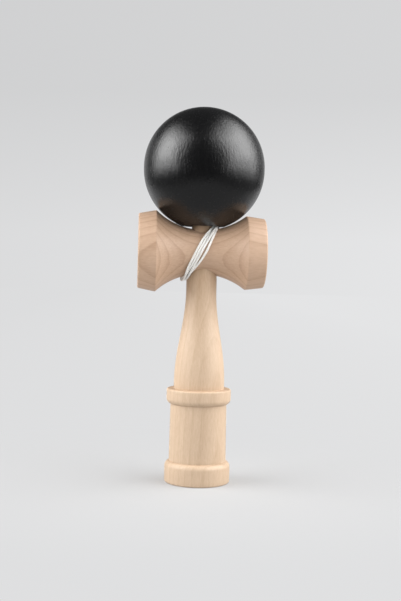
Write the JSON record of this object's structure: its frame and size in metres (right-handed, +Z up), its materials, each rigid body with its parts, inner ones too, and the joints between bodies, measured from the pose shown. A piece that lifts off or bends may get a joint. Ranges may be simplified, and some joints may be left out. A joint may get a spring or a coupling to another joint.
{
  "type": "cup and ball toy",
  "caption": "Turned wooden cup and ball toy: spiked handle with a foot cup, crosspiece with a large and a small cup, and a painted ball on a string.",
  "frame": {"origin": "on the handle's axis, in the plane that the foot stands on", "axes": "+Z up along the handle's axis, -X towards the large cup, +Y towards the string hole in the back"},
  "size_m": [0.0628, 0.06, 0.1874],
  "materials": {
    "handle_wood": "turned, satin clear varnish",
    "crosspiece_wood": "turned, satin clear varnish",
    "ball_paint": "black gloss lacquer over wood",
    "bead_wood": "plain turned bead",
    "string": "white twisted string"
  },
  "bodies": {
    "handle": {"handle": "handle_wood", "crosspiece": "crosspiece_wood", "anchor_knot": "string", "string_anchor": "string", "string_winding": "string"},
    "bead": {"bead": "bead_wood", "bead_knot": "string", "string_in_ball": "string", "string_free": "string"},
    "ball": {"ball": "ball_paint"}
  },
  "joints": [
    {"name": "ball_lift", "type": "slide", "parent": "handle", "child": "bead", "axis": [0, 0, 1], "range_m": [0, 0.06], "deforming": ["string_free"]},
    {"name": "ball_spin", "type": "hinge", "parent": "bead", "child": "ball", "pos_m": [0, 0, 0.156], "axis": [0, 0, 1], "continuous": true}
  ]
}
